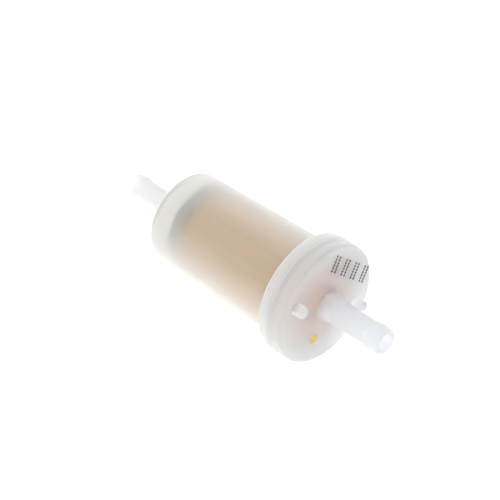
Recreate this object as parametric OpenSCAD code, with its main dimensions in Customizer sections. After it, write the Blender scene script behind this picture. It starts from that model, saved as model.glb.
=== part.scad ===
// In-line fuel filter: a welded translucent case around a star-folded paper element.
// +X is the direction of flow, from the inlet nipple on the case to the outlet nipple on the cap.
// The origin is midway between the two nipple tips, on the axis. Millimetres.

/* [Case] */
// Length of the cup from its closed end to the back of the flange
case_length = 48.5; // [44:0.5:54]
// Outer radius of the cup at its closed end
case_end_r = 14.0; // [13.9:0.05:14.2]
// Outer radius of the cup where it meets the flange
case_flange_r = 14.4; // [14.3:0.05:14.6]
// Thickness of the cup's side wall
case_wall = 1.0; // [0.9:0.05:1.1]
// Thickness of the closed end
end_wall = 1.3; // [1:0.1:2]
// Radius of the closed end's outer edge
end_edge_r = 1.5; // [0.6:0.1:2.5]

/* [Flange and cap] */
// Outer radius of the flange
flange_r = 17.7; // [17.4:0.1:18.5]
// Thickness of the case's half of the flange
case_flange_t = 2.9; // [2.4:0.1:3.4]
// Thickness of the cap, from the weld line to its face
cap_t = 4.8; // [4.6:0.1:5.2]
// Outer radius of the cap's crown, in front of the groove
crown_r = 17.5; // [17.2:0.1:17.7]
// Distance from the weld line to the groove round the cap
groove_offset = 1.5; // [1.2:0.1:1.8]
// Width of the groove round the cap
groove_w = 0.8; // [0.5:0.1:1]
// Depth of the groove round the cap
groove_depth = 0.6; // [0.3:0.1:0.9]
// Radius of the crown's front edge
crown_edge_r = 1.1; // [0.6:0.1:1.2]
// Thickness of the cap's front wall
cap_wall = 1.8; // [1.4:0.1:2]

/* [Hose nipples] */
// Length of the inlet nipple
inlet_length = 23.1; // [18:0.1:28]
// Length of the outlet nipple
outlet_length = 20.7; // [18:0.1:28]
// Radius of the passage through both nipples
bore_r = 2.5; // [2.2:0.1:2.6]
// Radius of the stem behind the barb
stem_r = 3.4; // [3.3:0.05:3.55]
// Radius of the barb's cylindrical land
barb_r = 3.8; // [3.7:0.05:4.2]
// Length of the barb's cylindrical land
barb_land = 1.8; // [1.2:0.1:2.4]

/* [Pegs] */
// Distance of the two locating pegs from the axis
peg_offset = 12.9; // [11:0.1:14]
// Radius of a peg and of its domed end
peg_r = 1.7; // [1.2:0.1:2]
// Height of a peg above the cap's face
peg_h = 3.7; // [2.5:0.1:4.5]
// Angle of the first peg from the top of the cap, towards the -Y side
peg_angle = 61; // [0:1:180]

/* [Filter element] */
// Number of pleats
pleats = 28; // [22:1:30]
// Outer radius of the pleats
pleat_outer_r = 11.9; // [11:0.1:11.9]
// Inner radius of the pleats
pleat_inner_r = 6.3; // [6.2:0.1:7.5]
// Thickness of the paper
paper_t = 0.36; // [0.25:0.01:0.4]
// Outer radius of the element's two end caps
end_cap_r = 12.7; // [12.6:0.05:12.75]
// Depth of the closed end cap
closed_cap_depth = 3.7; // [3:0.1:4.5]
// Gap between the closed end cap and the inside of the cup's end
inlet_gap = 5.6; // [4:0.1:7]

/* [Marks] */
// Radius of the paint dot
dot_r = 1.5; // [1:0.1:2]
// Distance of the paint dot from the axis
dot_offset = 10.1; // [8:0.1:12]
// Angle of the paint dot from the top of the cap, towards the -Y side
dot_angle = 150; // [90:1:180]
// Number of inked marks in the row
marks = 4; // [1:1:4]

/* [Hidden] */
round_fn = 96;

// stations along the axis
total_length = inlet_length + case_length + case_flange_t + cap_t + outlet_length;
inlet_tip_x = -total_length / 2;
outlet_tip_x = total_length / 2;
case_end_x = inlet_tip_x + inlet_length;
flange_back_x = case_end_x + case_length;
weld_x = flange_back_x + case_flange_t;
cap_face_x = weld_x + cap_t;
cap_inner_x = cap_face_x - cap_wall;

// the cup's inside and the flange's edges
inner_end_x = case_end_x + end_wall;
inner_corner_r = 1.0;
inner_end_r = case_end_r - case_wall;
inner_mouth_r = case_flange_r - case_wall;
flange_edge = 0.35;
weld_edge = 0.18;
flange_fillet = 0.5;

// the weld: a tongue on the cap in a groove in the case
tongue_inner_r = 15.0;
tongue_outer_r = 16.2;
tongue_depth = 1.2;
weld_gap = 0.05;

// the cap's groove, and the spigot that carries the element
groove_x = weld_x + groove_offset;
groove_floor_r = crown_r - groove_depth;
spigot_r = 5.2;
spigot_bore_r = 4.0;
spigot_length = 3.2;
spigot_edge = 0.3;

// a nipple's details, as distances from its tip or its root
tip_chamfer = 0.3;
tip_r = barb_r - 0.3;
barb_start = 2.2;
barb_end = barb_start + barb_land;
barb_ramp = 1.2;
stem_root_r = 3.6;
boss_r = 4.0;
boss_length = 2.2;
boss_edge = 0.4;
mouth_r = bore_r + 0.4;
mouth_depth = 0.6;

// the element's end caps and potting
rim_t = 0.7;
rim_inner_r = end_cap_r - rim_t;
base_t = 0.9;
potting_t = 1.5;
closed_cap_x = inner_end_x + inlet_gap;
open_cap_x = cap_inner_x;
open_cap_depth = 3.5;
open_hole_r = spigot_r + 0.05;
open_potting_r = 5.9;
paper_start_x = closed_cap_x + base_t + potting_t;
paper_end_x = open_cap_x - base_t - potting_t;

// the paper's folds: centreline radii, the arcs' centres and the points on each arc
outer_fold_r = 0.62;
inner_fold_r = 0.34;
fold_steps = 5;
outer_fold_c = pleat_outer_r - outer_fold_r - paper_t / 2;
inner_fold_c = pleat_inner_r + inner_fold_r + paper_t / 2;
pleat_pitch = 360 / pleats;
fold_dx = inner_fold_c * cos(pleat_pitch / 2) - outer_fold_c;
fold_dy = inner_fold_c * sin(pleat_pitch / 2);
flank_angle = atan2(fold_dy, fold_dx) - acos((outer_fold_r + inner_fold_r) / norm([fold_dx, fold_dy]));
seam_depth = 3.0;

// the row of inked marks, each two bars of dots
mark_start = [3.8, 11.7];
mark_step = [3.53, -3.3];
mark_up_angle = 58;
mark_dots = 6;
mark_dot_pitch = 0.84;
mark_dot_r = 0.38;
bar_gap = 1.5;
ink_t = 0.06;
paint_t = 0.12;

// points of an arc about [cx, cy] from angle a0 to a1
function arc(cx, cy, r, a0, a1, n) = [
    for (i = [0 : n]) let (a = a0 + (a1 - a0) * i / n) [cx + r * cos(a), cy + r * sin(a)]
];

function reversed(points) = [for (i = [len(points) - 1 : -1 : 0]) points[i]];

// [radius, distance] points moved to stations along the axis
function placed(points, start, direction) = [for (p = points) [p[0], start + direction * p[1]]];

// a nipple's outside, from the tip to the root
function nipple_outside(length) = concat(
    [[tip_r - tip_chamfer, 0], [tip_r, tip_chamfer], [barb_r, barb_start], [barb_r, barb_end],
     [stem_r, barb_end + barb_ramp], [stem_root_r, length - boss_length]],
    arc(boss_r - boss_edge, length - boss_length + boss_edge, boss_edge, -90, 0, 4),
    [[boss_r, length]]
);

// a nipple's passage, from its countersunk mouth inwards
function nipple_inside(depth) = [[mouth_r, 0], [bore_r, mouth_depth], [bore_r, depth]];

// one face of the folded sheet, shifted from its centreline
function sheet_face(shift) = [
    for (i = [0 : pleats - 1])
        let (a = i * pleat_pitch, v = a + pleat_pitch / 2)
        each concat(
            arc(outer_fold_c * cos(a), outer_fold_c * sin(a), outer_fold_r + shift,
                a - flank_angle, a + flank_angle, fold_steps),
            arc(inner_fold_c * cos(v), inner_fold_c * sin(v), inner_fold_r - shift,
                a + flank_angle + 180, a + pleat_pitch - flank_angle + 180, fold_steps)
        )
];

// a flank of the first pleat, seen from inside it: side is 1 or -1
function flank(depth, side) = [
    outer_fold_c + (outer_fold_r - paper_t / 2) * cos(flank_angle) - depth * sin(flank_angle),
    side * ((outer_fold_r - paper_t / 2) * sin(flank_angle) + depth * cos(flank_angle))
];

// a solid of revolution about X from an outline of [radius, x] points
module turned(outline) {
    rotate([0, 90, 0])
        rotate_extrude($fn = round_fn)
            polygon(outline);
}

// a ring about X
module ring(outer_r, inner_r, x0, x1) {
    turned([[inner_r, x0], [outer_r, x0], [outer_r, x1], [inner_r, x1]]);
}

// an outline pushed along X between two stations
module along_axis(x0, x1) {
    translate([x0, 0, 0])
        rotate([0, 90, 0])
            linear_extrude(x1 - x0)
                children();
}

// a place on the cap's face, at an angle from the top towards the -Y side
module on_face(offset, angle) {
    translate([cap_face_x, -offset * sin(angle), offset * cos(angle)])
        rotate([0, 90, 0])
            children();
}

module case() {
    color([0.92, 0.91, 0.86, 0.55])
        turned(concat(
            placed(nipple_outside(inlet_length), inlet_tip_x, 1),
            arc(case_end_r - end_edge_r, case_end_x + end_edge_r, end_edge_r, -90, 0, 8),
            arc(case_flange_r + flange_fillet, flange_back_x - flange_fillet, flange_fillet, 180, 90, 4),
            [[flange_r - flange_edge, flange_back_x], [flange_r, flange_back_x + flange_edge],
             [flange_r, weld_x - weld_edge], [flange_r - weld_edge, weld_x],
             [tongue_outer_r + weld_gap, weld_x], [tongue_outer_r + weld_gap, weld_x - tongue_depth],
             [tongue_inner_r - weld_gap, weld_x - tongue_depth], [tongue_inner_r - weld_gap, weld_x],
             [inner_mouth_r, weld_x]],
            arc(inner_end_r - inner_corner_r, inner_end_x + inner_corner_r, inner_corner_r, 0, -90, 6),
            placed(reversed(nipple_inside(inlet_length + end_wall)), inlet_tip_x, 1)
        ));
}

module cap_shell() {
    turned(concat(
        [[inner_mouth_r, weld_x], [tongue_inner_r, weld_x], [tongue_inner_r, weld_x - tongue_depth],
         [tongue_outer_r, weld_x - tongue_depth], [tongue_outer_r, weld_x],
         [flange_r - weld_edge, weld_x], [flange_r, weld_x + weld_edge],
         [flange_r, groove_x - flange_edge], [flange_r - flange_edge, groove_x],
         [groove_floor_r, groove_x + groove_w / 4], [groove_floor_r, groove_x + groove_w * 3 / 4],
         [crown_r - flange_edge, groove_x + groove_w], [crown_r, groove_x + groove_w + flange_edge]],
        arc(crown_r - crown_edge_r, cap_face_x - crown_edge_r, crown_edge_r, 0, 90, 6),
        placed(reversed(nipple_outside(outlet_length)), outlet_tip_x, -1),
        placed(nipple_inside(outlet_length), outlet_tip_x, -1),
        [[spigot_bore_r, cap_inner_x], [spigot_bore_r, cap_inner_x - spigot_length],
         [spigot_r - spigot_edge, cap_inner_x - spigot_length],
         [spigot_r, cap_inner_x - spigot_length + spigot_edge], [spigot_r, cap_inner_x],
         [inner_mouth_r, cap_inner_x]]
    ));
}

module peg() {
    translate([0, 0, -cap_wall / 2])
        cylinder(r = peg_r, h = peg_h - peg_r + cap_wall / 2, $fn = 48);
    translate([0, 0, peg_h - peg_r])
        sphere(r = peg_r, $fn = 48);
}

module cap() {
    color([0.93, 0.92, 0.92, 0.6])
        union() {
            cap_shell();
            for (turn = [0, 180])
                on_face(peg_offset, peg_angle + turn)
                    peg();
        }
}

module pleated_paper() {
    color([0.83, 0.71, 0.53])
        along_axis(paper_start_x, paper_end_x)
            difference() {
                polygon(sheet_face(paper_t / 2));
                polygon(sheet_face(-paper_t / 2));
            }
}

// the glue line inside the lowest pleat, where the sheet's two ends meet
module paper_seam() {
    color([0.88, 0.82, 0.68])
        along_axis(paper_start_x, paper_end_x)
            polygon([flank(0, 1), flank(seam_depth, 1), flank(seam_depth, -1), flank(0, -1)]);
}

module closed_end_cap() {
    color([0.47, 0.5, 0.46])
        turned([[0, closed_cap_x], [end_cap_r, closed_cap_x], [end_cap_r, closed_cap_x + closed_cap_depth],
                [rim_inner_r, closed_cap_x + closed_cap_depth], [rim_inner_r, closed_cap_x + base_t],
                [0, closed_cap_x + base_t]]);
}

module closed_end_adhesive() {
    color([0.55, 0.53, 0.45])
        turned([[0, paper_start_x - potting_t], [rim_inner_r, paper_start_x - potting_t],
                [rim_inner_r, paper_start_x], [0, paper_start_x]]);
}

module open_end_cap() {
    color([0.86, 0.8, 0.74])
        turned([[open_hole_r, open_cap_x], [open_hole_r, open_cap_x - base_t],
                [rim_inner_r, open_cap_x - base_t], [rim_inner_r, open_cap_x - open_cap_depth],
                [end_cap_r, open_cap_x - open_cap_depth], [end_cap_r, open_cap_x]]);
}

module open_end_adhesive() {
    color([0.78, 0.6, 0.48])
        ring(rim_inner_r, open_potting_r, paper_end_x, paper_end_x + potting_t);
}

module inspection_dot() {
    color([0.93, 0.85, 0.3])
        on_face(dot_offset, dot_angle)
            cylinder(r = dot_r, h = paint_t, $fn = 48);
}

module ink_marks() {
    color([0.2, 0.19, 0.17])
        for (m = [0 : marks - 1])
            for (bar = [-0.5, 0.5])
                for (d = [0 : mark_dots - 1])
                    let (rise = (d - (mark_dots - 1) / 2) * mark_dot_pitch,
                         place = mark_start + m * mark_step + bar * bar_gap * mark_step / norm(mark_step)
                             + rise * [cos(mark_up_angle), sin(mark_up_angle)])
                    translate([cap_face_x, place[0], place[1]])
                        rotate([0, 90, 0])
                            cylinder(r = mark_dot_r, h = ink_t, $fn = 16);
}

case();
cap();
pleated_paper();
paper_seam();
closed_end_cap();
closed_end_adhesive();
open_end_cap();
open_end_adhesive();
inspection_dot();
ink_marks();
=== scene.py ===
import math
import random

import bmesh
import bpy
from mathutils import Matrix, Vector


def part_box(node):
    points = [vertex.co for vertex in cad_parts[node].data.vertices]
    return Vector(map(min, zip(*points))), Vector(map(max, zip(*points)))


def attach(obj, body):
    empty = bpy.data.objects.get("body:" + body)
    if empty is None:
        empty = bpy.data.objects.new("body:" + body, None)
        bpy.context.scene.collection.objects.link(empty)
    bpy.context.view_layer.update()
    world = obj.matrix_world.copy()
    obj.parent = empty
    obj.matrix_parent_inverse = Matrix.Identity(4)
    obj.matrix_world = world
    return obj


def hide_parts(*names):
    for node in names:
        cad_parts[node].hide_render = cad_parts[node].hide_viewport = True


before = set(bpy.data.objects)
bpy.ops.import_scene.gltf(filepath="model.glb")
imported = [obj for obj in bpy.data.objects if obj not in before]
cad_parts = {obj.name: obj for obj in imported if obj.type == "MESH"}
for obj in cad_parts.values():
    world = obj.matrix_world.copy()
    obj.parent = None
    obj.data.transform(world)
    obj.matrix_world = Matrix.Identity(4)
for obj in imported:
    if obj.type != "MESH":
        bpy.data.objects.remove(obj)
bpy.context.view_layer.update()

MM = 0.001
SEGMENTS = 192
random.seed(7)


# ---------------------------------------------------------------- stations, in mm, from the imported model

def box_mm(node):
    low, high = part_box(node)
    return low / MM, high / MM


case_low, case_high = box_mm("case")
cap_high = box_mm("cap")[1]
closed_low, closed_high = box_mm("closed_end_cap")
open_low, open_high = box_mm("open_end_cap")
paper_low, paper_high = box_mm("pleated_paper")
closed_glue_low, closed_glue_high = box_mm("closed_end_adhesive")
open_glue_low, open_glue_high = box_mm("open_end_adhesive")
dot_low, dot_high = box_mm("inspection_dot")
marks_low, marks_high = box_mm("ink_marks")

INLET_TIP = case_low.x
WELD = case_high.x
OUTLET_TIP = cap_high.x
FLANGE_R = case_high.z
FACE = dot_low.x

# distances of the case and the cap, in mm, as in the CAD source
INLET_LENGTH = 23.1
FLANGE_T = 2.9
CASE_END_R = 14.0
CASE_FLANGE_R = 14.4
WALL = 1.0
END_WALL = 1.3
END_EDGE_R = 1.5
CAP_WALL = 1.8
CROWN_R = 17.5
CROWN_EDGE_R = 1.1
RIM_EDGE_R = 0.35
WELD_EDGE_R = 0.18
MOUTH_R = CASE_FLANGE_R - WALL
SPIGOT_R = 5.2
SPIGOT_BORE_R = 4.0
SPIGOT_LENGTH = 3.2

CASE_END = INLET_TIP + INLET_LENGTH
FLANGE_BACK = WELD - FLANGE_T
INNER_END = CASE_END + END_WALL
INNER_FACE = FACE - CAP_WALL

# the shallow dip round the cap, as distances from the weld; the photo shows it softer than the CAD's groove
DIP_START = 0.6
DIP_BOTTOM = 1.9
DIP_END = 2.7
DIP_DEPTH = 0.06
DIP_FILLET = 0.6

# a nipple, with distances from its tip, and its boss, from the root
BORE_R = 2.5
BORE_MOUTH_R = 2.9
BORE_MOUTH_DEPTH = 0.6
TIP_R = 3.5
BARB_R = 3.8
BARB_START = 2.2
BARB_END = 4.0
STEM_START = 5.2
STEM_R = 3.4
STEM_ROOT_R = 3.6
BOSS_R = 4.0
BOSS_LENGTH = 2.2

# the pegs; PEG_ANGLE is from the top of the cap towards -Y
PEG_OFFSET = 12.9
PEG_ANGLE = 61
PEG_R = 1.7
PEG_HEIGHT = 3.7
PEG_FILLET = 0.3
PEG_BURIED = 0.9
PEG_SEGMENTS = 64

# the welded faces melt into each other by this much
MELT = 0.02
TONGUE_DEPTH = 1.2
TONGUE_IN = 15.0
TONGUE_OUT = 16.2

# the element; CLEAR keeps the open cup's face off the cap's inner face
END_CAP_R = open_high.z
RIM_T = 0.7
RIM_IN = END_CAP_R - RIM_T
BASE_T = 0.9
HOLE_R = 5.25
CLEAR = 0.15
PLEATS = 28
PLEAT_OUT = 11.9
PLEAT_IN = 6.3
SHEET_T = 0.36
OUTER_FOLD_R = 0.62
INNER_FOLD_R = 0.34

# the potting creeps up the cup's wall in a thin meniscus, and the paper's ends are sunk in it
MENISCUS = 0.35
MENISCUS_DEPTH = 0.12
PAPER_SUNK = 0.1

# the print on the face
DOT_R = (dot_high.z - dot_low.z) / 2
DOT_T = dot_high.x - dot_low.x
INK_T = marks_high.x - marks_low.x


# ---------------------------------------------------------------- mesh helpers

FILLET_STEPS = 7
NEARLY_STRAIGHT = math.radians(179.5)


def rounded(corners):
    """Points of a closed outline of (radius, x, fillet) corners with every corner rounded."""
    points = []
    count = len(corners)
    for i in range(count):
        before = Vector(corners[i - 1][:2])
        here = Vector(corners[i][:2])
        after = Vector(corners[(i + 1) % count][:2])
        fillet = corners[i][2]
        to_before = before - here
        to_after = after - here
        angle = to_before.angle(to_after)
        if fillet <= 0 or angle > NEARLY_STRAIGHT:
            points.append(here)
            continue
        reach = fillet / math.tan(angle / 2)
        reach = min(reach, 0.49 * to_before.length, 0.49 * to_after.length)
        radius = reach * math.tan(angle / 2)
        start = here + to_before.normalized() * reach
        end = here + to_after.normalized() * reach
        middle = (to_before.normalized() + to_after.normalized()).normalized()
        centre = here + middle * radius / math.sin(angle / 2)
        a0 = math.atan2(start.y - centre.y, start.x - centre.x)
        a1 = math.atan2(end.y - centre.y, end.x - centre.x)
        turn = (a1 - a0 + math.pi) % (2 * math.pi) - math.pi
        for k in range(FILLET_STEPS + 1):
            a = a0 + turn * k / FILLET_STEPS
            points.append(centre + radius * Vector((math.cos(a), math.sin(a))))
    return points


SUPPORT_REACH = 0.12
LONGEST_SIDE = 3.0


def supported(points):
    """The outline with extra points near the ends of its long sides, which keep them flat in smooth shading."""
    out = []
    count = len(points)
    for i, here in enumerate(points):
        after = points[(i + 1) % count]
        side = after - here
        out.append(here)
        if side.length > 4 * SUPPORT_REACH:
            unit = side.normalized()
            inner_start = here + unit * SUPPORT_REACH
            inner_end = after - unit * SUPPORT_REACH
            pieces = max(1, round((inner_end - inner_start).length / LONGEST_SIDE))
            out.extend(inner_start.lerp(inner_end, k / pieces) for k in range(pieces + 1))
    return out


def quad(ring, after, s, t):
    """The corners between places s and t of two rings of vertices; a ring of one vertex gives one corner."""
    corners = [ring[s % len(ring)], ring[t % len(ring)], after[t % len(after)], after[s % len(after)]]
    return list(dict.fromkeys(corners))


def turned_mesh(outline, segments=SEGMENTS):
    """A bmesh of an outline of (radius, x) points in mm turned about X."""
    bm = bmesh.new()
    rings = []
    for r, x in outline:
        if r < 1e-6:
            rings.append([bm.verts.new((x * MM, 0, 0))])
            continue
        rings.append([
            bm.verts.new((x * MM, -r * MM * math.sin(a), r * MM * math.cos(a)))
            for a in (2 * math.pi * s / segments for s in range(segments))
        ])
    for i, ring in enumerate(rings):
        after = rings[(i + 1) % len(rings)]
        for s in range(segments):
            t = (s + 1) % segments
            corners = quad(ring, after, s, t)
            if len(corners) > 2:
                bm.faces.new(corners)
    bmesh.ops.recalc_face_normals(bm, faces=bm.faces)
    return bm


def finished(name, bm, material, nodes=(), sharp=None):
    """A smooth object made from a bmesh, riding on the filter and standing for CAD nodes."""
    mesh = bpy.data.meshes.new(name)
    bm.to_mesh(mesh)
    bm.free()
    mesh.polygons.foreach_set("use_smooth", [True] * len(mesh.polygons))
    if sharp is not None:
        mesh.set_sharp_from_angle(angle=math.radians(sharp))
    mesh.materials.append(material)
    piece = bpy.data.objects.new(name, mesh)
    bpy.context.scene.collection.objects.link(piece)
    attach(piece, "root")
    if nodes:
        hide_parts(*nodes)
    return piece


# vertices closer than this become one after a union
WELD_DISTANCE = 0.002


def joined(base, others):
    """The union of a bmesh and others, by the exact boolean."""
    def as_object(bm, name):
        mesh = bpy.data.meshes.new(name)
        bm.to_mesh(mesh)
        bm.free()
        made = bpy.data.objects.new(name, mesh)
        bpy.context.scene.collection.objects.link(made)
        return made

    first = as_object(base, "joining")
    rest = [as_object(bm, f"joining_{i}") for i, bm in enumerate(others)]
    for other in rest:
        union = first.modifiers.new("union", "BOOLEAN")
        union.operation = "UNION"
        union.solver = "EXACT"
        union.object = other
    bpy.context.view_layer.update()
    result = bmesh.new()
    result.from_object(first, bpy.context.evaluated_depsgraph_get())
    bmesh.ops.remove_doubles(result, verts=result.verts, dist=WELD_DISTANCE * MM)
    for made in [first, *rest]:
        mesh = made.data
        bpy.data.objects.remove(made)
        bpy.data.meshes.remove(mesh)
    return result


# ---------------------------------------------------------------- materials

def set_range(node, low, high, to_low, to_high):
    """Sets the two ranges of a Map Range node."""
    for name, number in (("From Min", low), ("From Max", high), ("To Min", to_low), ("To Max", to_high)):
        node.inputs[name].default_value = number


class Graph:
    """A material's node tree with short ways to add and join nodes."""

    def __init__(self, name):
        self.material = bpy.data.materials.new(name)
        self.material.use_nodes = True
        self.tree = self.material.node_tree
        self.tree.nodes.clear()
        self.output = self.add("ShaderNodeOutputMaterial")
        self.coords = self.add("ShaderNodeTexCoord").outputs["Object"]

    def add(self, kind, **settings):
        node = self.tree.nodes.new(kind)
        for key, value in settings.items():
            setattr(node, key, value)
        return node

    def put(self, socket, value):
        if isinstance(value, bpy.types.NodeSocket):
            self.tree.links.new(value, socket)
        elif value is not None:
            socket.default_value = value

    def noise(self, scale, detail, roughness=0.5, vector=None):
        node = self.add("ShaderNodeTexNoise")
        self.put(node.inputs["Vector"], self.coords if vector is None else vector)
        node.inputs["Scale"].default_value = scale
        node.inputs["Detail"].default_value = detail
        node.inputs["Roughness"].default_value = roughness
        return node.outputs["Fac"]

    def stretched(self, scale):
        node = self.add("ShaderNodeMapping")
        self.put(node.inputs["Vector"], self.coords)
        node.inputs["Scale"].default_value = scale
        return node.outputs["Vector"]

    def ranged(self, value, low, high, to_low, to_high):
        node = self.add("ShaderNodeMapRange")
        self.put(node.inputs["Value"], value)
        set_range(node, low, high, to_low, to_high)
        return node.outputs["Result"]

    def math(self, operation, a, b=None):
        node = self.add("ShaderNodeMath", operation=operation)
        self.put(node.inputs[0], a)
        self.put(node.inputs[1], b)
        return node.outputs["Value"]

    def place(self):
        """Sockets for the distance along the axis and the distance from it."""
        split = self.add("ShaderNodeSeparateXYZ")
        self.put(split.inputs["Vector"], self.coords)
        across = self.math("POWER", split.outputs["Y"], 2.0)
        upward = self.math("POWER", split.outputs["Z"], 2.0)
        return split.outputs["X"], self.math("SQRT", self.math("ADD", across, upward))

    def mixed(self, factor, a, b, blend="MIX"):
        node = self.add("ShaderNodeMix", data_type="RGBA", blend_type=blend)
        self.put(node.inputs["Factor"], factor)
        self.put(node.inputs["A"], a)
        self.put(node.inputs["B"], b)
        return node.outputs["Result"]

    def bump(self, height, distance, strength):
        node = self.add("ShaderNodeBump")
        self.put(node.inputs["Height"], height)
        node.inputs["Distance"].default_value = distance
        node.inputs["Strength"].default_value = strength
        return node.outputs["Normal"]

    def principled(self, **inputs):
        node = self.add("ShaderNodeBsdfPrincipled")
        for key, value in inputs.items():
            self.put(node.inputs[key.replace("_", " ")], value)
        self.tree.links.new(node.outputs["BSDF"], self.output.inputs["Surface"])
        return node


def rgb(*values):
    return (*values, 1.0)


# the milkiest nylon takes this tint, below the first clearness and fading out at the second
MILKY_TINT = (0.92, 0.933, 0.95)
MILKY_CLEARNESS = (0.55, 0.88)
NYLON_IOR = 1.33
NYLON_SCATTER = (1.0, 0.96, 0.92)
NYLON_SCATTER_DISTANCE = 3.0
NYLON_SHEEN_ROUGHNESS = 0.5
ROUGHNESS_SPREAD = 0.03


def nylon(name, tint, shade, blend, milky, roughness, sheen, sheen_tint, rim_shade=None):
    """Frosted natural nylon between two tints, milkier the more aslant sight crosses its wall.

    milky is a list of (axis, from, to, clearness at from, clearness at to), in mm, with axis 0 for the distance
    along X and 1 for the distance from X; the lowest clearness holds. The last argument is (from, to, darkest):
    between those distances from X the colour darkens to that share, a painted shade on the flange.
    """
    g = Graph(name)
    cloud = g.noise(90, 3.0)
    fine = g.noise(1100, 2.0)
    aslant = g.add("ShaderNodeLayerWeight")
    aslant.inputs["Blend"].default_value = blend
    place = g.place()
    clearness = None
    for axis, start, end, at_start, at_end in milky:
        part = g.ranged(place[axis], start * MM, end * MM, at_start, at_end)
        clearness = part if clearness is None else g.math("MINIMUM", clearness, part)
    straight = g.math("SUBTRACT", 1.0, aslant.outputs["Facing"])
    clouded = g.mixed(g.ranged(cloud, 0.35, 0.65, 0.0, 1.0), rgb(*tint), rgb(*shade))
    colour = g.mixed(g.ranged(clearness, *MILKY_CLEARNESS, 0.0, 1.0), rgb(*MILKY_TINT), clouded)
    # painted shade: the colour darkens towards the flange's rim
    if rim_shade:
        rim_start, rim_end, darkest = rim_shade
        painted_rim_shade = g.ranged(place[1], rim_start * MM, rim_end * MM, 1.0, darkest)
        colour = g.mixed(1.0, colour, painted_rim_shade, "MULTIPLY")
    smoothest, roughest = roughness - ROUGHNESS_SPREAD, roughness + ROUGHNESS_SPREAD
    g.principled(**{
        "Base_Color": colour,
        "Roughness": g.ranged(cloud, 0.3, 0.7, smoothest, roughest),
        "IOR": NYLON_IOR,
        "Transmission_Weight": g.math("MULTIPLY", clearness, straight),
        "Subsurface_Weight": 1.0,
        "Subsurface_Radius": NYLON_SCATTER,
        "Subsurface_Scale": NYLON_SCATTER_DISTANCE * MM,
        "Sheen_Weight": sheen,
        "Sheen_Roughness": NYLON_SHEEN_ROUGHNESS,
        "Sheen_Tint": rgb(*sheen_tint),
        "Normal": g.bump(fine, 0.00001, 0.3),
    })
    return g.material


def case_nylon():
    return nylon(
        "case_nylon", tint=(0.99, 0.975, 0.93), shade=(0.985, 0.975, 0.935), blend=0.32,
        milky=[(0, -28.5, -26.5, 0.5, 0.93), (0, -21.5, -19.5, 0.84, 0.93), (1, 14.6, 16.0, 0.93, 0.5)],
        # the last pair of numbers paints shade on the flange, down to 0.92 of its colour
        roughness=0.58, sheen=0.65, sheen_tint=(1.0, 0.94, 0.84), rim_shade=(14.9, 16.2, 0.92),
    )


def cap_nylon():
    return nylon(
        "cap_nylon", tint=(0.98, 0.985, 0.985), shade=(0.975, 0.98, 0.98), blend=0.15,
        milky=[(0, 29.35, 30.2, 0.88, 0.57), (1, 12.0, 17.2, 0.88, 0.68)],
        roughness=0.62, sheen=0.35, sheen_tint=(1.0, 0.98, 0.97),
    )


# the grain of moulded plastic, glue and paint: how fine, how deep in metres and how strong
GRAIN_SCALE = 700
GRAIN_DEPTH = 0.00002
GRAIN_STRENGTH = 0.6


def satin(name, tint, shade, roughness):
    """A satin surface between two tints, with a fine grain."""
    g = Graph(name)
    cloud = g.noise(160, 4.0)
    grain = g.noise(GRAIN_SCALE, 3.0)
    g.principled(**{
        "Base_Color": g.mixed(g.ranged(cloud, 0.3, 0.7, 0.0, 1.0), rgb(*tint), rgb(*shade)),
        "Roughness": g.ranged(grain, 0.3, 0.7, roughness - 0.06, roughness + 0.06),
        "Normal": g.bump(grain, GRAIN_DEPTH, GRAIN_STRENGTH),
    })
    return g.material


# a faint white light on the inner folds stands for the light that comes through the paper
PAPER_GLOW = 0.2
GLOW_FULL_R = 6.6
GLOW_END_R = 9.0


def paper():
    """Filter paper with fibres along the pleats."""
    g = Graph("filter_paper")
    fibre = g.noise(1400, 5.0, 0.65, g.stretched((0.35, 1.0, 1.0)))
    cloud = g.noise(120, 3.0)
    tone = g.mixed(g.ranged(fibre, 0.3, 0.7, 0.0, 1.0), rgb(0.69, 0.42, 0.02), rgb(0.74, 0.48, 0.05))
    g.principled(**{
        "Base_Color": g.mixed(g.ranged(cloud, 0.35, 0.65, 0.0, 0.35), tone, rgb(0.7, 0.44, 0.03)),
        "Roughness": 0.85,
        "Emission_Color": rgb(1.0, 1.0, 1.0),
        "Emission_Strength": g.ranged(g.place()[1], GLOW_FULL_R * MM, GLOW_END_R * MM, PAPER_GLOW, 0.0),
        "Normal": g.bump(fibre, 0.00004, 0.7),
    })
    g.material.cycles.emission_sampling = "NONE"
    return g.material


# the warm dark patch on the open cup, potting colour with painted shade of the deep hollow round the hole: its
# middle, how far it is full and where it ends, and its ragged edge
POTTING_SHADE_AT = (26.0, -2.3, 0.4)
POTTING_SHADE_FULL = 3.5
POTTING_SHADE_END = 12.5
POTTING_SHADE_RAGGED = 0.8


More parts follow.
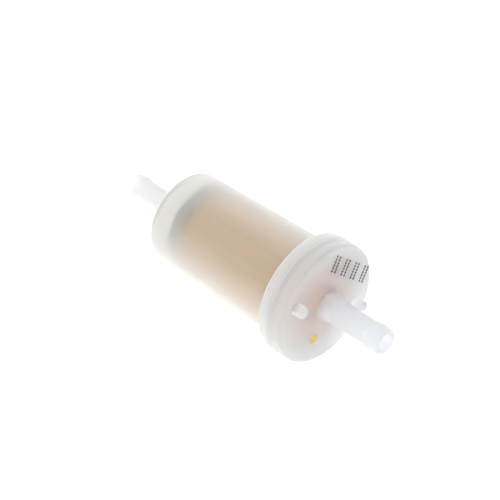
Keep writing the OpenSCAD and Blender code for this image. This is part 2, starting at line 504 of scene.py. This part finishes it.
def shaded_glued_cup():
    """The open end's cup: moulded plastic, warmer and darker round the hole and strongest at a spot, potting
    colour with painted shade of the deep hollow.
    """
    g = Graph("open_cap_plastic")
    cloud = g.noise(160, 4.0)
    ragged = g.noise(220, 2.0)
    offset = g.add("ShaderNodeVectorMath", operation="SUBTRACT")
    g.put(offset.inputs[0], g.coords)
    offset.inputs[1].default_value = [v * MM for v in POTTING_SHADE_AT]
    distance = g.add("ShaderNodeVectorMath", operation="LENGTH")
    g.put(distance.inputs[0], offset.outputs["Vector"])
    uneven = g.ranged(ragged, 0.3, 0.7, -POTTING_SHADE_RAGGED * MM, POTTING_SHADE_RAGGED * MM)
    spread = g.math("ADD", distance.outputs["Value"], uneven)
    # painted shade: the cup darkens towards the hole, on top of the potting's warm colour
    potting_shade = g.ranged(spread, POTTING_SHADE_FULL * MM, POTTING_SHADE_END * MM, 1.0, 0.0)
    plain = g.mixed(g.ranged(cloud, 0.3, 0.7, 0.0, 1.0), rgb(0.72, 0.63, 0.56), rgb(0.67, 0.58, 0.51))
    g.principled(**{
        # the dark warm colour is the potting's tint with painted shade of the hollow
        "Base_Color": g.mixed(potting_shade, plain, rgb(0.72, 0.25, 0.08)),
        "Roughness": g.ranged(cloud, 0.3, 0.7, 0.42, 0.55),
        "Normal": g.bump(g.noise(GRAIN_SCALE, 3.0), GRAIN_DEPTH, GRAIN_STRENGTH),
    })
    return g.material


case_material = case_nylon()
cap_material = cap_nylon()
filter_paper = paper()
seam_glue = satin("seam_glue", (0.8, 0.72, 0.5), (0.74, 0.65, 0.43), 0.45)
closed_cap_plastic = satin("closed_cap_plastic", (0.24, 0.27, 0.24), (0.27, 0.3, 0.27), 0.5)
potting = satin("potting", (0.85, 0.45, 0.25), (0.88, 0.5, 0.3), 0.4)
open_cap_plastic = shaded_glued_cup()
yellow_paint = satin("yellow_paint", (0.72, 0.55, 0.13), (0.68, 0.5, 0.1), 0.35)
black_ink = satin("black_ink", (0.05, 0.045, 0.04), (0.075, 0.07, 0.06), 0.5)


# ---------------------------------------------------------------- the case and the cap

def nipple_corners(tip, length, inward):
    """The outside of a nipple from its mouth to its root, as corners; inward is 1 or -1 along X."""
    rows = [
        (BORE_MOUTH_R, 0.0, 0.12),
        (TIP_R, 0.0, 0.3),
        (BARB_R, BARB_START, 0.3),
        (BARB_R, BARB_END, 0.3),
        (STEM_R, STEM_START, 0.6),
        (STEM_ROOT_R, length - BOSS_LENGTH, 0.15),
        (BOSS_R, length - BOSS_LENGTH, 0.4),
        (BOSS_R, length, 0.35),
    ]
    return [(r, tip + inward * d, fillet) for r, d, fillet in rows]


def tongue_corners(weld, spare):
    """The weld's tongue, or the groove for it, from outside to inside, larger all round by spare."""
    return [
        (TONGUE_OUT + spare, weld, 0.05),
        (TONGUE_OUT + spare, weld - TONGUE_DEPTH, 0.1),
        (TONGUE_IN - spare, weld - TONGUE_DEPTH, 0.1),
        (TONGUE_IN - spare, weld, 0.05),
    ]


case_corners = [
    *nipple_corners(INLET_TIP, INLET_LENGTH, 1),
    (CASE_END_R, CASE_END, END_EDGE_R),
    (CASE_FLANGE_R, FLANGE_BACK, 0.5),
    (FLANGE_R, FLANGE_BACK, RIM_EDGE_R),
    (FLANGE_R, WELD, WELD_EDGE_R),
    *tongue_corners(WELD, 0.0),
    (MOUTH_R, WELD, 0.1),
    (CASE_END_R - WALL, INNER_END, 1.0),
    (BORE_R, INNER_END, 0.15),
    (BORE_R, INLET_TIP + BORE_MOUTH_DEPTH, 0.3),
]
cap_corners = [
    *nipple_corners(OUTLET_TIP, OUTLET_TIP - FACE, -1),
    (CROWN_R, FACE, CROWN_EDGE_R),
    (CROWN_R, WELD + DIP_END, DIP_FILLET),
    (CROWN_R - DIP_DEPTH, WELD + DIP_BOTTOM, DIP_FILLET),
    (FLANGE_R, WELD + DIP_START, DIP_FILLET),
    (FLANGE_R, WELD - MELT, WELD_EDGE_R),
    *tongue_corners(WELD - MELT, MELT),
    (MOUTH_R, WELD - MELT, 0.1),
    (MOUTH_R, INNER_FACE, 0.5),
    (SPIGOT_R, INNER_FACE, 0.1),
    (SPIGOT_R, INNER_FACE - SPIGOT_LENGTH, 0.3),
    (SPIGOT_BORE_R, INNER_FACE - SPIGOT_LENGTH, 0.1),
    (SPIGOT_BORE_R, INNER_FACE, 0.3),
    (BORE_R, FACE, 0.6),
    (BORE_R, OUTLET_TIP - BORE_MOUTH_DEPTH, 0.3),
]


def peg_mesh(angle):
    """A domed peg on the cap's face, at an angle from the top towards -Y, with a small fillet at its foot."""
    fillet_steps = 5
    dome_steps = 14
    outline = [(0.0, -PEG_BURIED), (PEG_R - 0.2, -PEG_BURIED), (PEG_R + PEG_FILLET, -0.12)]
    for k in range(1, fillet_steps + 1):
        a = math.radians(90 * k / fillet_steps)
        # the foot starts a hair below the face, so that the union leaves no slivers
        foot = PEG_FILLET - PEG_FILLET * math.cos(a) - 0.01
        outline.append((PEG_R + PEG_FILLET - PEG_FILLET * math.sin(a), foot))
    for k in range(dome_steps):
        a = math.radians(90 * k / dome_steps)
        outline.append((PEG_R * math.cos(a), PEG_HEIGHT - PEG_R + PEG_R * math.sin(a)))
    outline.append((0.0, PEG_HEIGHT))
    bm = turned_mesh(outline, PEG_SEGMENTS)
    place = Vector((FACE, -PEG_OFFSET * math.sin(angle), PEG_OFFSET * math.cos(angle))) * MM
    bmesh.ops.transform(bm, matrix=Matrix.Translation(place), verts=bm.verts)
    return bm


case_bm = turned_mesh(supported(rounded(case_corners)))
finished("case_shell", case_bm, case_material, ["case"])
pegs = [peg_mesh(math.radians(PEG_ANGLE + turn)) for turn in (0, 180)]
cap_bm = joined(turned_mesh(supported(rounded(cap_corners))), pegs)
finished("cap_shell", cap_bm, cap_material, ["cap"], sharp=40)


# ---------------------------------------------------------------- the element

def turned(name, corners, material, node):
    """A turned piece with rounded corners that stands for a CAD node."""
    return finished(name, turned_mesh(supported(rounded(corners))), material, [node], sharp=50)


closed_x = closed_low.x
turned("closed_end_cup", [
    (0.0, closed_x, 0.0),
    (END_CAP_R, closed_x, 0.45),
    (END_CAP_R, closed_high.x, 0.25),
    (RIM_IN, closed_high.x, 0.25),
    (RIM_IN, closed_x + BASE_T, 0.3),
    (0.0, closed_x + BASE_T, 0.0),
], closed_cap_plastic, "closed_end_cap")

open_x = open_high.x - CLEAR
turned("open_end_cup", [
    (HOLE_R, open_x, 0.15),
    (HOLE_R, open_x + CLEAR - BASE_T, 0.15),
    (RIM_IN, open_x + CLEAR - BASE_T, 0.3),
    (RIM_IN, open_low.x, 0.25),
    (END_CAP_R, open_low.x, 0.25),
    (END_CAP_R, open_x, 0.45),
], open_cap_plastic, "open_end_cap")

turned("closed_end_potting", [
    (0.0, closed_glue_low.x, 0.0),
    (RIM_IN, closed_glue_low.x, 0.2),
    (RIM_IN, closed_glue_high.x, 0.02),
    (RIM_IN - MENISCUS, closed_glue_high.x - MENISCUS_DEPTH, 0.3),
    (0.0, closed_glue_high.x - MENISCUS_DEPTH, 0.0),
], potting, "closed_end_adhesive")
turned("open_end_potting", [
    (HOLE_R, open_glue_high.x, 0.1),
    (HOLE_R, open_glue_low.x, 0.05),
    (HOLE_R + MENISCUS, open_glue_low.x + MENISCUS_DEPTH, 0.3),
    (RIM_IN - MENISCUS, open_glue_low.x + MENISCUS_DEPTH, 0.3),
    (RIM_IN, open_glue_low.x, 0.02),
    (RIM_IN, open_glue_high.x, 0.2),
], potting, "open_end_adhesive")


OUTER_FOLD_STEPS = 8
INNER_FOLD_STEPS = 6
FLANK_STEPS = 5


def flank_points(start, end):
    """Points along a flank between two folds, each with its outward direction."""
    return [
        (start[0].lerp(end[0], k / FLANK_STEPS), start[1].lerp(end[1], k / FLANK_STEPS).normalized())
        for k in range(1, FLANK_STEPS)
    ]


def sheet_line():
    """One pleat's centreline from fold to fold, as (point, outward direction) pairs in mm."""
    outer_c = PLEAT_OUT - OUTER_FOLD_R - SHEET_T / 2
    inner_c = PLEAT_IN + INNER_FOLD_R + SHEET_T / 2
    pitch = 2 * math.pi / PLEATS
    dx = inner_c * math.cos(pitch / 2) - outer_c
    dy = inner_c * math.sin(pitch / 2)
    flank = math.atan2(dy, dx) - math.acos((OUTER_FOLD_R + INNER_FOLD_R) / math.hypot(dx, dy))
    outer_fold = []
    for k in range(OUTER_FOLD_STEPS + 1):
        a = -flank + 2 * flank * k / OUTER_FOLD_STEPS
        outward = Vector((math.cos(a), math.sin(a)))
        outer_fold.append((Vector((outer_c, 0.0)) + OUTER_FOLD_R * outward, outward))
    inner_fold = []
    centre = inner_c * Vector((math.cos(pitch / 2), math.sin(pitch / 2)))
    for k in range(INNER_FOLD_STEPS + 1):
        a = flank + math.pi + (pitch - 2 * flank) * k / INNER_FOLD_STEPS
        outward = -Vector((math.cos(a), math.sin(a)))
        inner_fold.append((centre - INNER_FOLD_R * outward, outward))
    turn = Matrix.Rotation(pitch, 2)
    next_pleat = (turn @ outer_fold[0][0], turn @ outer_fold[0][1])
    inward = flank_points(outer_fold[-1], inner_fold[0])
    back_out = flank_points(inner_fold[-1], next_pleat)
    return outer_fold + inward + inner_fold + back_out


# how uneven the pleats are: the most a fold leans, in radians, the most it falls short, in mm, and its waves
SHEET_RINGS = 49
MOST_LEAN = 0.006
MOST_SHORT = 0.12
LEAN_WAVE = 0.008 * 0.16
LEAN_WAVE_LENGTH = 9
DEPTH_WAVE = 0.01
DEPTH_WAVE_LENGTH = 7
WAVE_PACE = (0.6, 1.4)
ANY_PHASE = (0, 6.28)


def pleat_quirks():
    """The lean, the shortfall, and the phase and pace of the waves of each pleat."""
    return [
        (
            random.uniform(-MOST_LEAN, MOST_LEAN),
            random.uniform(-MOST_SHORT, 0.0),
            random.uniform(*ANY_PHASE),
            random.uniform(*WAVE_PACE),
        )
        for _ in range(PLEATS)
    ]


def paper_mesh():
    """The pleated sheet, its folds a little uneven and its ends sunk into the potting."""
    start, end = paper_low.x - PAPER_SUNK, paper_high.x + PAPER_SUNK
    line = sheet_line()
    quirks = pleat_quirks()
    bm = bmesh.new()
    loops = []
    for k in range(SHEET_RINGS):
        x = start + (end - start) * k / (SHEET_RINGS - 1)
        free = math.sin(math.pi * k / (SHEET_RINGS - 1)) ** 0.5
        faces = ([], [])
        for i, (lean, short, phase, pace) in enumerate(quirks):
            turn = Matrix.Rotation(2 * math.pi * i / PLEATS, 2)
            lean_here = lean + LEAN_WAVE * math.sin(phase + pace * x / LEAN_WAVE_LENGTH)
            wave = DEPTH_WAVE * math.sin(phase * 2 + pace * x / DEPTH_WAVE_LENGTH)
            short_here = short + wave - DEPTH_WAVE
            for at, outward in line:
                share = max(0.0, (at.length - PLEAT_IN) / (PLEAT_OUT - PLEAT_IN))
                bend = Matrix.Rotation(lean_here * share * free, 2)
                grow = 1 + short_here * share * free / PLEAT_OUT
                for side, row in ((1, faces[0]), (-1, faces[1])):
                    p = turn @ bend @ (at * grow + outward * side * SHEET_T / 2)
                    row.append(bm.verts.new((x * MM, p.y * MM, -p.x * MM)))
        loops.append(faces)
    count = len(loops[0][0])
    for here, after in zip(loops, loops[1:]):
        for j in range(count):
            n = (j + 1) % count
            for side in (0, 1):
                bm.faces.new((here[side][j], here[side][n], after[side][n], after[side][j]))
    for outer, inner in (loops[0], loops[-1]):
        for j in range(count):
            n = (j + 1) % count
            bm.faces.new((outer[j], outer[n], inner[n], inner[j]))
    bmesh.ops.recalc_face_normals(bm, faces=bm.faces)
    return bm


finished("paper_pleats", paper_mesh(), filter_paper, ["pleated_paper"], sharp=60)


# a drop starts this far under the face; its profile is fuller than an ellipse's, whose powers would be 1
DROP_SUNK = 0.01
DROP_EDGE_POWER = 0.55
DROP_TOP_POWER = 0.8
# its edge has waves of these counts, and is drawn in by this share of its unevenness to stay near its radius
DROP_EDGE_WAVES = (2, 3, 5)
DROP_DRAWN_IN = 1.5


def blob_mesh(radius, height, uneven, rounds, steps):
    """A low domed drop on the cap's face, with an uneven edge, centred on the origin and rising along +X."""
    waves = [(n, random.uniform(-uneven, uneven), random.uniform(*ANY_PHASE)) for n in DROP_EDGE_WAVES]

    def row(bm, r, depth):
        made = []
        for s in range(rounds):
            t = 2 * math.pi * s / rounds
            wave = sum(size * math.sin(n * t + phase) for n, size, phase in waves)
            edge = 1 + wave - DROP_DRAWN_IN * uneven
            y, z = r * edge * math.cos(t), r * edge * math.sin(t)
            made.append(bm.verts.new((depth * MM, y * MM, z * MM)))
        return made

    bm = bmesh.new()
    rings = [[bm.verts.new((-DROP_SUNK * MM, 0, 0))], row(bm, radius, -DROP_SUNK)]
    for k in range(steps):
        a = math.radians(90 * k / steps)
        rings.append(row(bm, radius * math.cos(a) ** DROP_EDGE_POWER, height * math.sin(a) ** DROP_TOP_POWER))
    rings.append([bm.verts.new((height * MM, 0, 0))])
    for ring, after in zip(rings, rings[1:]):
        for s in range(rounds):
            bm.faces.new(quad(ring, after, s, (s + 1) % rounds))
    bmesh.ops.recalc_face_normals(bm, faces=bm.faces)
    return bm


def gathered(parts):
    """One bmesh made of several, each moved to its place."""
    whole = bmesh.new()
    scratch = bpy.data.meshes.new("scratch")
    for bm, place in parts:
        bmesh.ops.transform(bm, matrix=Matrix.Translation(Vector(place) * MM), verts=bm.verts)
        bm.to_mesh(scratch)
        bm.free()
        whole.from_mesh(scratch)
    bpy.data.meshes.remove(scratch)
    return whole


dot_at = (FACE, (dot_low.y + dot_high.y) / 2, (dot_low.z + dot_high.z) / 2)
dot_drop = blob_mesh(DOT_R, DOT_T, uneven=0.035, rounds=48, steps=7)
dot_bm = gathered([(dot_drop, dot_at)])
finished("yellow_dot", dot_bm, yellow_paint, ["inspection_dot"])

# four marks, each two short bars of dots, printed in a row across the face
MARKS = 4
MARK_START = Vector((3.8, 11.7))
MARK_STEP = Vector((3.53, -3.3))
MARK_UP = math.radians(58)
MARK_DOTS = 6
MARK_DOT_PITCH = 0.84
MARK_DOT_R = 0.38
BAR_GAP = 1.5
INK_SPREAD = (1.02, 1.1)


def printed_dots():
    """The drops of ink of all marks, each with its place on the face."""
    up = Vector((math.cos(MARK_UP), math.sin(MARK_UP)))
    drops = []
    for mark in range(MARKS):
        for bar in (-0.5, 0.5):
            foot = MARK_START + mark * MARK_STEP + bar * BAR_GAP * MARK_STEP.normalized()
            for d in range(MARK_DOTS):
                at = foot + (d - (MARK_DOTS - 1) / 2) * MARK_DOT_PITCH * up
                radius = MARK_DOT_R * random.uniform(*INK_SPREAD)
                drops.append((blob_mesh(radius, INK_T, uneven=0.04, rounds=20, steps=3), (FACE, at.x, at.y)))
    return drops


finished("ink_print", gathered(printed_dots()), black_ink, ["ink_marks"])

# the seam stays the CAD's own piece, with a better material
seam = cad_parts["paper_seam"]
seam.data.materials.clear()
seam.data.materials.append(seam_glue)


# ---------------------------------------------------------------- floor, light and camera

# the filter lies on its closed end's edge and on the flange's rim, and the floor slopes to touch both
FLOOR_HALF = 1.5
FLOOR_GREY = 0.6
FLOOR_GLOW = 0.75
back_rim = Vector((FLANGE_BACK + RIM_EDGE_R, -FLANGE_R))
end_edge = Vector((CASE_END + END_EDGE_R, -(CASE_END_R - END_EDGE_R)))
along = back_rim - end_edge
slope = math.atan2(along.y, along.x) + math.asin(END_EDGE_R / along.length)
floor_up = Vector((-math.sin(slope), 0.0, math.cos(slope)))
floor_at = Vector((back_rim.x, 0.0, back_rim.y)) * MM


def floor_white():
    """A plain pale surface with a glow of its own, for an even ground."""
    g = Graph("floor_white")
    g.principled(**{
        "Base_Color": rgb(FLOOR_GREY, FLOOR_GREY, FLOOR_GREY),
        "Roughness": 0.9,
        "Emission_Color": rgb(1.0, 1.0, 1.0),
        "Emission_Strength": FLOOR_GLOW,
    })
    return g.material


floor_bm = bmesh.new()
bmesh.ops.create_grid(floor_bm, x_segments=4, y_segments=4, size=FLOOR_HALF)
floor_turn = floor_up.to_track_quat("Z", "Y").to_matrix().to_4x4()
bmesh.ops.transform(floor_bm, matrix=Matrix.Translation(floor_at) @ floor_turn, verts=floor_bm.verts)
floor_mesh = bpy.data.meshes.new("floor")
floor_bm.to_mesh(floor_mesh)
floor_bm.free()
floor_mesh.materials.append(floor_white())
floor = bpy.data.objects.new("floor", floor_mesh)
bpy.context.scene.collection.objects.link(floor)

# a soft sky, brightest towards SKY_SIDE
SKY_COLOUR = (0.97, 0.98, 1.0)
SKY_SIDE = (-0.9, 0.0, 0.436)
SKY_DIMMEST = 0.59
SKY_BRIGHTEST = 1.31
world = bpy.data.worlds.new("studio")
bpy.context.scene.world = world
world.use_nodes = True
sky = world.node_tree
background = sky.nodes["Background"]
background.inputs["Color"].default_value = rgb(*SKY_COLOUR)
sky_place = sky.nodes.new("ShaderNodeTexCoord")
sky_side = sky.nodes.new("ShaderNodeVectorMath")
sky_side.operation = "DOT_PRODUCT"
sky_side.inputs[1].default_value = SKY_SIDE
sky_range = sky.nodes.new("ShaderNodeMapRange")
set_range(sky_range, -1.0, 1.0, SKY_DIMMEST, SKY_BRIGHTEST)
sky.links.new(sky_place.outputs["Generated"], sky_side.inputs[0])
sky.links.new(sky_side.outputs["Value"], sky_range.inputs["Value"])
sky.links.new(sky_range.outputs["Result"], background.inputs["Strength"])

view = bpy.context.scene.view_settings
view.view_transform = "Standard"
view.look = "None"
view.exposure = 0.0

# light crosses the nylon walls and the folds of the paper many times
light_paths = bpy.context.scene.cycles
light_paths.max_bounces = 24
light_paths.diffuse_bounces = 16
light_paths.glossy_bounces = 8
light_paths.transmission_bounces = 24

CAMERA_AT = Vector((195.1, -171.3, 215.4)) * MM
CAMERA_AIM = Vector((0.2, 0.0, 2.5)) * MM
CAMERA_ROLL = math.radians(-3.68)
camera_data = bpy.data.cameras.new("camera")
camera_data.sensor_width = 36.0
camera_data.lens = 87.59
camera_data.clip_start = 0.01
camera_data.clip_end = 10.0
camera = bpy.data.objects.new("camera", camera_data)
bpy.context.scene.collection.objects.link(camera)
facing = (CAMERA_AIM - CAMERA_AT).to_track_quat("-Z", "Y").to_matrix().to_4x4()
rolled = Matrix.Rotation(CAMERA_ROLL, 4, "Z")
camera.matrix_world = Matrix.Translation(CAMERA_AT) @ facing @ rolled
bpy.context.scene.camera = camera
